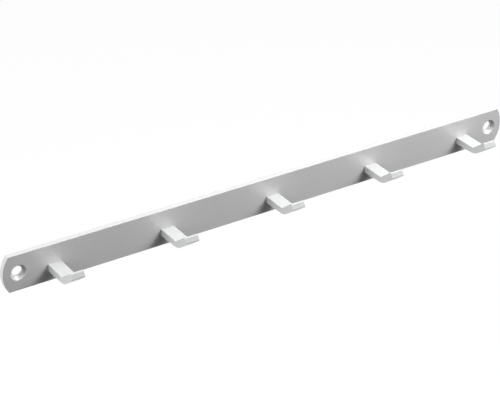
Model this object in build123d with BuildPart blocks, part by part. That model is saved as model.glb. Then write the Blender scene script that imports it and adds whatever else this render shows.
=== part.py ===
"""Wall coat rack: a flat aluminium rail that carries a row of five riveted hooks.

Millimetres, +Z up, X along the rail. The rail's back lies on the wall plane, Y = 0, and its front
faces -Y. The origin is the middle of the rail's back face.
"""

import os
from math import cos, radians, sin, tan

from build123d import *

# Rail: a flat bar whose ends are bowed outwards in one arc
rail_length = 312.0  # over the bowed ends
rail_height = 20.0
rail_thickness = 3.0
end_bulge = 3.2  # how far each end bows out past its corners
rail_corner_radius = 0.4
rail_edge_radius = 0.15

# Wall screws: one countersunk hole near each end
screw_inset = 8.5  # from the end of the rail to the middle of the hole
screw_hole_diameter = 5.6
sink_diameter = 8.6
sink_angle = 90.0

# Hooks: short cuts of one profile, evenly spaced
hook_count = 5
hook_inset = 28.0  # from the end of the rail to the middle of the first hook
hook_width = 7.5
arm_top_drop = 0.4  # from the middle of the rail down to the top of the arm
arm_reach = 14.0  # from the rail's face to the inner corner of the bend
arm_root_thickness = 4.0
arm_bend_thickness = 3.4  # under the inner corner of the bend
lip_length = 10.6  # along its inner face
lip_thickness = 3.8
lip_angle = 39.5  # above the arm
inner_bend_radius = 0.8
outer_bend_radius = 9.0
tip_inner_radius = 1.0  # where a coat's loop slides over
tip_outer_radius = 0.5
hook_edge_break = 0.2

# Rivets: each hook's tenon passes through the rail and is spread into a flared seat at the back
tenon_width = 5.0
tenon_height = 2.6
tenon_clearance = 0.1  # all round, between the tenon and its slot
rivet_flare = 0.5  # depth of the 45-degree flare at the back of the slot

# Places that follow from the sizes above
corner_x = rail_length / 2 - end_bulge
screw_x = rail_length / 2 - screw_inset
first_hook_x = hook_inset - rail_length / 2
hook_pitch = (rail_length - 2 * hook_inset) / (hook_count - 1)
hook_xs = [first_hook_x + number * hook_pitch for number in range(hook_count)]
tenon_z = -arm_top_drop - arm_root_thickness / 2
slot_width = tenon_width + 2 * tenon_clearance
slot_height = tenon_height + 2 * tenon_clearance
tail_length = rivet_flare + tenon_clearance

rail_front = Plane.XZ.offset(rail_thickness)

os.makedirs("parts", exist_ok=True)

# Rail with its screw holes and the flared slots that hold the hooks
with BuildPart() as rail:
    with BuildSketch(Plane.XZ) as rail_outline:
        with BuildLine():
            top = Line((-corner_x, rail_height / 2), (corner_x, rail_height / 2))
            right_end = ThreePointArc(top @ 1, (rail_length / 2, 0), (corner_x, -rail_height / 2))
            bottom = Line(right_end @ 1, (-corner_x, -rail_height / 2))
            ThreePointArc(bottom @ 1, (-rail_length / 2, 0), top @ 0)
        make_face()
        fillet(rail_outline.vertices(), rail_corner_radius)
    extrude(amount=rail_thickness)
    fillet(rail.faces().filter_by(Axis.Y).edges(), rail_edge_radius)

    with BuildSketch(Plane.XZ):
        with Locations(*[(x, tenon_z) for x in hook_xs]):
            Rectangle(slot_width, slot_height)
    extrude(amount=rail_thickness, mode=Mode.SUBTRACT)
    with BuildSketch(Plane.XZ):
        with Locations(*[(x, tenon_z) for x in hook_xs]):
            Rectangle(slot_width + 2 * rivet_flare, slot_height + 2 * rivet_flare)
    extrude(amount=rivet_flare, taper=45, mode=Mode.SUBTRACT)

    with Locations(rail_front):
        with Locations((-screw_x, 0), (screw_x, 0)):
            CounterSinkHole(screw_hole_diameter / 2, sink_diameter / 2, counter_sink_angle=sink_angle)
rail.part.label = "rail"
export_step(rail.part, "parts/rail.step")

# Hook profile, measured outwards from the rail's face and upwards from the top of the arm
lip_out = cos(radians(lip_angle))
lip_up = sin(radians(lip_angle))
root_top = (0, 0)
root_bottom = (0, -arm_root_thickness)
inner_bend = (arm_reach, 0)
tip_inner = (arm_reach + lip_length * lip_out, lip_length * lip_up)
tip_outer = (tip_inner[0] + lip_thickness * lip_up, tip_inner[1] - lip_thickness * lip_out)

# The heel is where the underside of the arm, which rises a little, meets the outer face of the lip
arm_rise = (arm_root_thickness - arm_bend_thickness) / arm_reach
lip_rise = tan(radians(lip_angle))
heel_out = (tip_outer[0] * lip_rise - tip_outer[1] - arm_root_thickness) / (lip_rise - arm_rise)
heel = (heel_out, heel_out * arm_rise - arm_root_thickness)

for number, x in enumerate(hook_xs, start=1):
    side_plane = Plane(
        origin=(x + hook_width / 2, -rail_thickness, -arm_top_drop),
        x_dir=(0, -1, 0),
        z_dir=(-1, 0, 0),
    )
    with BuildPart() as hook:
        with BuildSketch(side_plane):
            with BuildLine():
                FilletPolyline(
                    root_bottom,
                    heel,
                    tip_outer,
                    tip_inner,
                    inner_bend,
                    root_top,
                    radius=[outer_bend_radius, tip_outer_radius, tip_inner_radius, inner_bend_radius],
                )
                Line(root_top, root_bottom)
            make_face()
        extrude(amount=hook_width)
        root_face = hook.faces().sort_by(Axis.Y)[-1]
        cut_sides = hook.faces().filter_by(Axis.X)
        chamfer(ShapeList(set(cut_sides.edges() + root_face.edges())), hook_edge_break)

        with BuildSketch(rail_front):
            with Locations((x, tenon_z)):
                Rectangle(tenon_width, tenon_height)
        extrude(amount=-rail_thickness)
        with BuildSketch(Plane.XZ.offset(tail_length)):
            with Locations((x, tenon_z)):
                Rectangle(tenon_width, tenon_height)
        extrude(amount=-tail_length, taper=-45)
    hook.part.label = f"hook_{number}"
    export_step(hook.part, f"parts/hook_{number}.step")
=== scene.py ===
"""Looks of the wall coat rack: matt anodised aluminium in a plain soft studio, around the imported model.

Metres, in the model's own frame: X runs along the rail, -Y out from the wall, +Z up.
"""

import math

import bmesh
import bpy
from mathutils import Matrix, Vector

MM = 0.001

# Camera, at the photograph's view: its lens in pixels of the frame, degrees, and metres
IMAGE_WIDTH_PX = 500
FOCAL_PX = 1727.75
SENSOR_WIDTH_MM = 36.0
CAMERA_AZIMUTH = -34.54
CAMERA_ELEVATION = 30.07
CAMERA_ROLL = 1.83
CAMERA_DISTANCE = 0.8947
CAMERA_AIM = Vector((-0.01404, -0.003, 0.00053))

# Floor and surround
FLOOR_DROP = 0.26  # below the middle of the rail
FLOOR_SIZE = 8.0
FLOOR_GLOW = 0.9  # share of the floor's white that no shadow dims
SURROUND_LIGHT = 0.4  # strength of the white light from all round, on what isn't metal
FLOOR_PAINT = "#F2F2F2"
FELT_BLACK = "#262626"
WHITE = "#FFFFFF"

# Dark screens: a wall in front of the rack, behind the camera, and a cloth on the floor before it
SCREEN_FRONT = 1.0
SCREEN_LEFT = -1.7
SCREEN_RIGHT = 1.6
SCREEN_HEIGHT = 2.8
CLOTH_GAP = 0.05  # from the rack's wall plane to the near edge of the cloth
CLOTH_LIFT = 0.004  # above the floor

# Lamps: soft rectangles that face the rack, with the power in watts. The key lamp, above on the right,
# gives the pale tops and the hooks' shadows, and the far left one lights their cut sides. The fills
# lift the rail's face and the ends of the lips.
KEY_LAMP = {"place": (0.34, -0.30, 0.57), "size": (0.40, 0.40), "power": 5.35}
LEFT_LAMP = {"place": (-3.80, 0.25, 2.20), "size": (2.4, 2.0), "power": 138.0}
LEFT_FILL = {"place": (-1.30, -0.75, 0.55), "size": (0.8, 0.6), "power": 1.0}
RIGHT_FILL = {"place": (0.54, -0.66, 0.60), "size": (0.6, 0.5), "power": 4.7}

# Colours of the clear anodised metal, from the darkest to the palest of its marks. The rail's narrow
# edges and the ends of the lips are painted a shade darker than the rest: painted shade.
RAIL_FACE = ("#DCDCDC", "#E0E0E0")
RAIL_EDGE_PAINTED_SHADE = ("#D0D0D0", "#D4D4D4")
HOOK_FACE = ("#D0D1D1", "#D4D5D5")
HOOK_TIP_PAINTED_SHADE = ("#CACBCC", "#CECFD0")

# Shine: the etched metal is almost dull, a hook's underside less so, and the sealed film is smooth
RAIL_ROUGHNESS = (0.80, 0.90)
HOOK_ROUGHNESS = (0.90, 1.0)
UNDERSIDE_ROUGHNESS = (0.48, 0.56)
FILM_ROUGHNESS = 0.22

# Marks of the making, in millimetres. Real die and saw lines are about 0.1 mm wide, etched grain is
# about 0.05 mm and its relief 0.002 mm: all four are drawn coarser, because they wouldn't show.
DIE_LINE_WIDTH = 0.7
DIE_LINE_LENGTH = 70.0
SAW_LINE_WIDTH = 0.5
SAW_LINE_LENGTH = 9.0
SAW_LINE_DEPTH = 1.0  # through the hook, so that its two cut sides differ
SAW_LINE_TURN = 35.0  # degrees, from level
ETCH_GRAIN = 0.35
ETCH_RELIEF = 0.008
BATH_CLOUDS = 22.0  # as large as they really are
CLOUD_SHARE = 0.4  # of the tone of the rail, and the rest is die lines
GRAIN_SHARE = 0.4  # of the relief, and the rest is lines
NOISE_LOW, NOISE_HIGH = 0.3, 0.7  # between these lies most of a noise pattern

# Where a surface begins and is whole, as the part of its normal that points one way
TIP_FACING = (0.0, -0.772, 0.636)  # straight out of the end of a hook's lip
EDGE_LEAN = (0.9, 0.5)  # narrow edges of the rail: the part to the front or back
CUT_LEAN = (0.5, 0.9)  # cut sides of a hook: the part to the left or right
TIP_LEAN = (0.94, 0.985)  # end of a lip: the part along TIP_FACING
UNDERSIDE_LEAN = (-0.35, -0.6)  # underside of a hook: the part upwards

# Sockets of the Mix node, which has its own set for numbers and for colours
SHARE, NUMBER_A, NUMBER_B, COLOUR_A, COLOUR_B = 0, 2, 3, 6, 7
NUMBER, COLOUR = 0, 2


def linear(hex_colour):
    """An sRGB hex colour as linear RGBA."""
    values = [int(hex_colour[i:i + 2], 16) / 255 for i in (1, 3, 5)]
    return [v / 12.92 if v <= 0.04045 else ((v + 0.055) / 1.055) ** 2.4 for v in values] + [1.0]


def add_node(tree, kind, inputs=None, **settings):
    """Adds a node, sets its properties, and sets or links its inputs."""
    node = tree.nodes.new(kind)
    for name, value in settings.items():
        setattr(node, name, value)
    for socket, value in (inputs or {}).items():
        if isinstance(value, bpy.types.NodeSocket):
            tree.links.new(value, node.inputs[socket])
        else:
            node.inputs[socket].default_value = value
    return node


def new_material(name):
    """An empty node material and its tree."""
    material = bpy.data.materials.new(name)
    material.use_nodes = True
    material.node_tree.nodes.clear()
    return material, material.node_tree


def marks(tree, sizes, turn=(0.0, 0.0, 0.0)):
    """Uneven marks from 0 to 1, of the given sizes in millimetres along the piece's axes."""
    place = add_node(tree, "ShaderNodeTexCoord")
    scaled = add_node(tree, "ShaderNodeMapping", {
        "Vector": place.outputs["Object"],
        "Rotation": turn,
        "Scale": [size * MM for size in sizes],
    }, vector_type="TEXTURE")
    noise = add_node(tree, "ShaderNodeTexNoise", {
        "Vector": scaled.outputs[0], "Scale": 1.0, "Detail": 2.0, "Roughness": 0.5,
    })
    spread = add_node(tree, "ShaderNodeMapRange", {
        "Value": noise.outputs["Fac"], "From Min": NOISE_LOW, "From Max": NOISE_HIGH,
    })
    return spread.outputs[0]


def anodised(tree, colour, roughness, lines, grain, film=1.0):
    """Etched aluminium with lines and grain in it, under the clear, sealed film that anodising grows."""
    relief = add_node(tree, "ShaderNodeMix", {
        SHARE: GRAIN_SHARE, NUMBER_A: lines, NUMBER_B: grain,
    }, data_type="FLOAT").outputs[NUMBER]
    bump = add_node(tree, "ShaderNodeBump", {
        "Strength": 1.0, "Distance": ETCH_RELIEF * MM, "Height": relief,
    })
    shader = add_node(tree, "ShaderNodeBsdfPrincipled", {
        "Base Color": colour,
        "Metallic": 1.0,
        "Roughness": roughness,
        "Normal": bump.outputs[0],
        "Coat Weight": film,
        "Coat Roughness": FILM_ROUGHNESS,
    })
    add_node(tree, "ShaderNodeOutputMaterial", {"Surface": shader.outputs["BSDF"]})


def drawn_bar_aluminium():
    """Flat aluminium bar, drawn through a die, etched matt and clear anodised."""
    # The etch turns the metal's mirror into an even, pale, almost dull grey, and the film adds a faint
    # soft shine. The die leaves fine lines along the bar, and the bath broad clouds. The narrow edges
    # are painted a shade darker than the broad faces: painted shade that tones down the brightly lit top
    # edge.
    material, tree = new_material("anodised_aluminium_drawn_bar")
    die_lines = marks(tree, (DIE_LINE_LENGTH, DIE_LINE_WIDTH, DIE_LINE_WIDTH))
    clouds = marks(tree, (BATH_CLOUDS, BATH_CLOUDS, BATH_CLOUDS))
    grain = marks(tree, (ETCH_GRAIN, ETCH_GRAIN, ETCH_GRAIN))
    tone = add_node(tree, "ShaderNodeMix", {
        SHARE: CLOUD_SHARE, NUMBER_A: die_lines, NUMBER_B: clouds,
    }, data_type="FLOAT").outputs[NUMBER]

    facing = add_node(tree, "ShaderNodeTexCoord").outputs["Normal"]
    forward = add_node(tree, "ShaderNodeSeparateXYZ", {"Vector": facing}).outputs["Y"]
    broadside = add_node(tree, "ShaderNodeMath", {0: forward}, operation="ABSOLUTE").outputs[0]
    on_edge = add_node(tree, "ShaderNodeMapRange", {
        "Value": broadside, "From Min": EDGE_LEAN[0], "From Max": EDGE_LEAN[1],
    }).outputs[0]

    face = add_node(tree, "ShaderNodeMix", {
        SHARE: tone, COLOUR_A: linear(RAIL_FACE[0]), COLOUR_B: linear(RAIL_FACE[1]),
    }, data_type="RGBA").outputs[COLOUR]
    # Painted shade: the narrow edges, the top one included, take this darker colour
    shaded_edge = add_node(tree, "ShaderNodeMix", {
        SHARE: tone, COLOUR_A: linear(RAIL_EDGE_PAINTED_SHADE[0]), COLOUR_B: linear(RAIL_EDGE_PAINTED_SHADE[1]),
    }, data_type="RGBA").outputs[COLOUR]
    colour = add_node(tree, "ShaderNodeMix", {
        SHARE: on_edge, COLOUR_A: face, COLOUR_B: shaded_edge,
    }, data_type="RGBA").outputs[COLOUR]
    roughness = add_node(tree, "ShaderNodeMapRange", {
        "Value": grain, "To Min": RAIL_ROUGHNESS[0], "To Max": RAIL_ROUGHNESS[1],
    }).outputs[0]
    anodised(tree, colour, roughness, die_lines, grain)
    return material


def hook_surfaces(tree):
    """Shares from 0 to 1 of a hook's cut sides, the end of its lip, and its underside."""
    facing = add_node(tree, "ShaderNodeTexCoord").outputs["Normal"]
    ways = add_node(tree, "ShaderNodeSeparateXYZ", {"Vector": facing}).outputs
    sideways = add_node(tree, "ShaderNodeMath", {0: ways["X"]}, operation="ABSOLUTE").outputs[0]
    on_cut = add_node(tree, "ShaderNodeMapRange", {
        "Value": sideways, "From Min": CUT_LEAN[0], "From Max": CUT_LEAN[1],
    }).outputs[0]
    tipways = add_node(tree, "ShaderNodeVectorMath", {
        0: facing, 1: TIP_FACING,
    }, operation="DOT_PRODUCT").outputs["Value"]
    on_tip = add_node(tree, "ShaderNodeMapRange", {
        "Value": tipways, "From Min": TIP_LEAN[0], "From Max": TIP_LEAN[1],
    }).outputs[0]
    on_underside = add_node(tree, "ShaderNodeMapRange", {
        "Value": ways["Z"], "From Min": UNDERSIDE_LEAN[0], "From Max": UNDERSIDE_LEAN[1],
    }).outputs[0]
    return on_cut, on_tip, on_underside


def sawn_profile_aluminium():
    """Hook profile in aluminium, extruded, sawn to width, etched matt and clear anodised."""
    # The same pale, almost dull grey as the rail's. Die lines run across the top, lip and underside,
    # and slanting saw lines over the two cut sides. The underside is etched least and mirrors more.
    # The end of the lip has no film, so it is duller, and it is painted a shade darker: painted shade.
    material, tree = new_material("anodised_aluminium_sawn_profile")
    die_lines = marks(tree, (DIE_LINE_LENGTH, DIE_LINE_WIDTH, DIE_LINE_WIDTH))
    saw_turn = (math.radians(SAW_LINE_TURN), 0.0, 0.0)
    saw_lines = marks(tree, (SAW_LINE_DEPTH, SAW_LINE_LENGTH, SAW_LINE_WIDTH), saw_turn)
    grain = marks(tree, (ETCH_GRAIN, ETCH_GRAIN, ETCH_GRAIN))

    on_cut, on_tip, on_underside = hook_surfaces(tree)
    lines = add_node(tree, "ShaderNodeMix", {
        SHARE: on_cut, NUMBER_A: die_lines, NUMBER_B: saw_lines,
    }, data_type="FLOAT").outputs[NUMBER]
    face = add_node(tree, "ShaderNodeMix", {
        SHARE: lines, COLOUR_A: linear(HOOK_FACE[0]), COLOUR_B: linear(HOOK_FACE[1]),
    }, data_type="RGBA").outputs[COLOUR]
    # Painted shade: the end of the lip, which faces the key lamp, takes this darker colour
    shaded_tip = add_node(tree, "ShaderNodeMix", {
        SHARE: grain, COLOUR_A: linear(HOOK_TIP_PAINTED_SHADE[0]), COLOUR_B: linear(HOOK_TIP_PAINTED_SHADE[1]),
    }, data_type="RGBA").outputs[COLOUR]
    colour = add_node(tree, "ShaderNodeMix", {
        SHARE: on_tip, COLOUR_A: face, COLOUR_B: shaded_tip,
    }, data_type="RGBA").outputs[COLOUR]

    etched = add_node(tree, "ShaderNodeMapRange", {
        "Value": grain, "To Min": HOOK_ROUGHNESS[0], "To Max": HOOK_ROUGHNESS[1],
    }).outputs[0]
    smoother = add_node(tree, "ShaderNodeMapRange", {
        "Value": grain, "To Min": UNDERSIDE_ROUGHNESS[0], "To Max": UNDERSIDE_ROUGHNESS[1],
    }).outputs[0]
    roughness = add_node(tree, "ShaderNodeMix", {
        SHARE: on_underside, NUMBER_A: etched, NUMBER_B: smoother,
    }, data_type="FLOAT").outputs[NUMBER]
    film = add_node(tree, "ShaderNodeMath", {0: 1.0, 1: on_tip}, operation="SUBTRACT").outputs[0]
    anodised(tree, colour, roughness, lines, grain, film)
    return material


def white_to_the_eye(tree):
    """1 for rays that show the background, from the camera, off metal or through clear things, else 0."""
    path = add_node(tree, "ShaderNodeLightPath").outputs
    seen = add_node(tree, "ShaderNodeMath", {
        0: path["Is Camera Ray"], 1: path["Is Glossy Ray"],
    }, operation="MAXIMUM").outputs[0]
    return add_node(tree, "ShaderNodeMath", {
        0: seen, 1: path["Is Transmission Ray"],
    }, operation="MAXIMUM").outputs[0]


def white_floor_paint():
    """Matt white paint that looks white, keeps some of the rack's shadow, and is clear from below."""
    material, tree = new_material("matt_white_floor_paint")
    matt = add_node(tree, "ShaderNodeBsdfDiffuse", {"Color": linear(FLOOR_PAINT)})
    glow = add_node(tree, "ShaderNodeEmission", {"Color": linear(WHITE), "Strength": 1.0})
    share = add_node(tree, "ShaderNodeMath", {
        0: white_to_the_eye(tree), 1: FLOOR_GLOW,
    }, operation="MULTIPLY").outputs[0]
    above = add_node(tree, "ShaderNodeMixShader", {0: share, 1: matt.outputs[0], 2: glow.outputs[0]})
    clear = add_node(tree, "ShaderNodeBsdfTransparent")
    below = add_node(tree, "ShaderNodeNewGeometry").outputs["Backfacing"]
    mixed = add_node(tree, "ShaderNodeMixShader", {0: below, 1: above.outputs[0], 2: clear.outputs[0]})
    add_node(tree, "ShaderNodeOutputMaterial", {"Surface": mixed.outputs[0]})
    return material


def black_felt():
    """Black wool felt, which gives back almost no light."""
    material, tree = new_material("black_wool_felt")
    felt = add_node(tree, "ShaderNodeBsdfDiffuse", {"Color": linear(FELT_BLACK)})
    add_node(tree, "ShaderNodeOutputMaterial", {"Surface": felt.outputs[0]})
    return material


def stage_sheet(name, size, place, material):
    """A flat rectangular sheet of the studio, laid out level and then put in place by a matrix."""
    bm = bmesh.new()
    bmesh.ops.create_grid(bm, x_segments=1, y_segments=1, size=0.5)
    bmesh.ops.scale(bm, vec=(size[0], size[1], 1.0), verts=bm.verts)
    bmesh.ops.transform(bm, matrix=place, verts=bm.verts)
    mesh = bpy.data.meshes.new(name)
    bm.to_mesh(mesh)
    bm.free()
    mesh.materials.append(material)
    sheet = bpy.data.objects.new(name, mesh)
    bpy.context.scene.collection.objects.link(sheet)
    return sheet


def floor():
    """The pale floor, a little below the rack."""
    level = Matrix.Translation((0, 0, -FLOOR_DROP))
    stage_sheet("floor", (FLOOR_SIZE, FLOOR_SIZE), level, white_floor_paint())


def dark_screens():
    """Black felt before the rack, which only the metal mirrors: it gives the upright faces their grey."""
    felt = black_felt()
    width = SCREEN_RIGHT - SCREEN_LEFT
    middle = (SCREEN_RIGHT + SCREEN_LEFT) / 2
    upright = Matrix.Translation((middle, -SCREEN_FRONT, SCREEN_HEIGHT / 2 - FLOOR_DROP))
    upright = upright @ Matrix.Rotation(math.radians(-90), 4, "X")
    level = Matrix.Translation((middle, -(SCREEN_FRONT + CLOTH_GAP) / 2, CLOTH_LIFT - FLOOR_DROP))
    screens = [
        stage_sheet("dark_wall", (width, SCREEN_HEIGHT), upright, felt),
        stage_sheet("dark_cloth", (width, SCREEN_FRONT - CLOTH_GAP), level, felt),
    ]
    for screen in screens:
        screen.visible_camera = False
        screen.visible_diffuse = False
        screen.visible_shadow = False


def soft_lamp(name, place, size, power):
    """A soft rectangular lamp that faces the rack."""
    data = bpy.data.lights.new(name, "AREA")
    data.shape = "RECTANGLE"
    data.size, data.size_y = size
    data.energy = power
    lamp = bpy.data.objects.new(name, data)
    lamp.location = place
    lamp.rotation_euler = (-Vector(place)).to_track_quat("-Z", "Y").to_euler()
    lamp.visible_camera = False
    bpy.context.scene.collection.objects.link(lamp)


def white_surround():
    """A world that looks white, and lights what isn't metal more weakly."""
    world = bpy.data.worlds.new("white_surround")
    world.use_nodes = True
    tree = world.node_tree
    tree.nodes.clear()
    weak = add_node(tree, "ShaderNodeBackground", {"Color": linear(WHITE), "Strength": SURROUND_LIGHT})
    white = add_node(tree, "ShaderNodeBackground", {"Color": linear(WHITE), "Strength": 1.0})
    mixed = add_node(tree, "ShaderNodeMixShader", {
        0: white_to_the_eye(tree), 1: weak.outputs[0], 2: white.outputs[0],
    })
    add_node(tree, "ShaderNodeOutputWorld", {"Surface": mixed.outputs[0]})
    bpy.context.scene.world = world


def photograph_camera():
    """The camera at the photograph's viewpoint."""
    azimuth, elevation = math.radians(CAMERA_AZIMUTH), math.radians(CAMERA_ELEVATION)
    back = Vector((
        math.sin(azimuth) * math.cos(elevation),
        -math.cos(azimuth) * math.cos(elevation),
        math.sin(elevation),
    ))
    data = bpy.data.cameras.new("camera")
    data.sensor_width = SENSOR_WIDTH_MM
    data.lens = FOCAL_PX * SENSOR_WIDTH_MM / IMAGE_WIDTH_PX
    camera = bpy.data.objects.new("camera", data)
    turn = (-back).to_track_quat("-Z", "Y").to_matrix().to_4x4()
    roll = Matrix.Rotation(math.radians(CAMERA_ROLL), 4, "Z")
    camera.matrix_world = Matrix.Translation(CAMERA_AIM + back * CAMERA_DISTANCE) @ turn @ roll
    bpy.context.scene.collection.objects.link(camera)
    bpy.context.scene.camera = camera


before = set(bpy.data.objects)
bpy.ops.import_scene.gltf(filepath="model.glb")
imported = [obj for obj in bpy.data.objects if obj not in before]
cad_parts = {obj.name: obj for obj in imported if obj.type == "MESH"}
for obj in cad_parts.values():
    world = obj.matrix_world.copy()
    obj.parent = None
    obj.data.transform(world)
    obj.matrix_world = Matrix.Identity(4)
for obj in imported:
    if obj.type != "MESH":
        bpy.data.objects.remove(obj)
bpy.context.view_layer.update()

rail_finish = drawn_bar_aluminium()
hook_finish = sawn_profile_aluminium()
for name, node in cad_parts.items():
    node.material_slots[0].material = rail_finish if name == "rail" else hook_finish

floor()
dark_screens()
soft_lamp("key_lamp", **KEY_LAMP)
soft_lamp("left_lamp", **LEFT_LAMP)
soft_lamp("left_fill", **LEFT_FILL)
soft_lamp("right_fill", **RIGHT_FILL)
white_surround()
photograph_camera()
bpy.context.scene.view_settings.view_transform = "Standard"
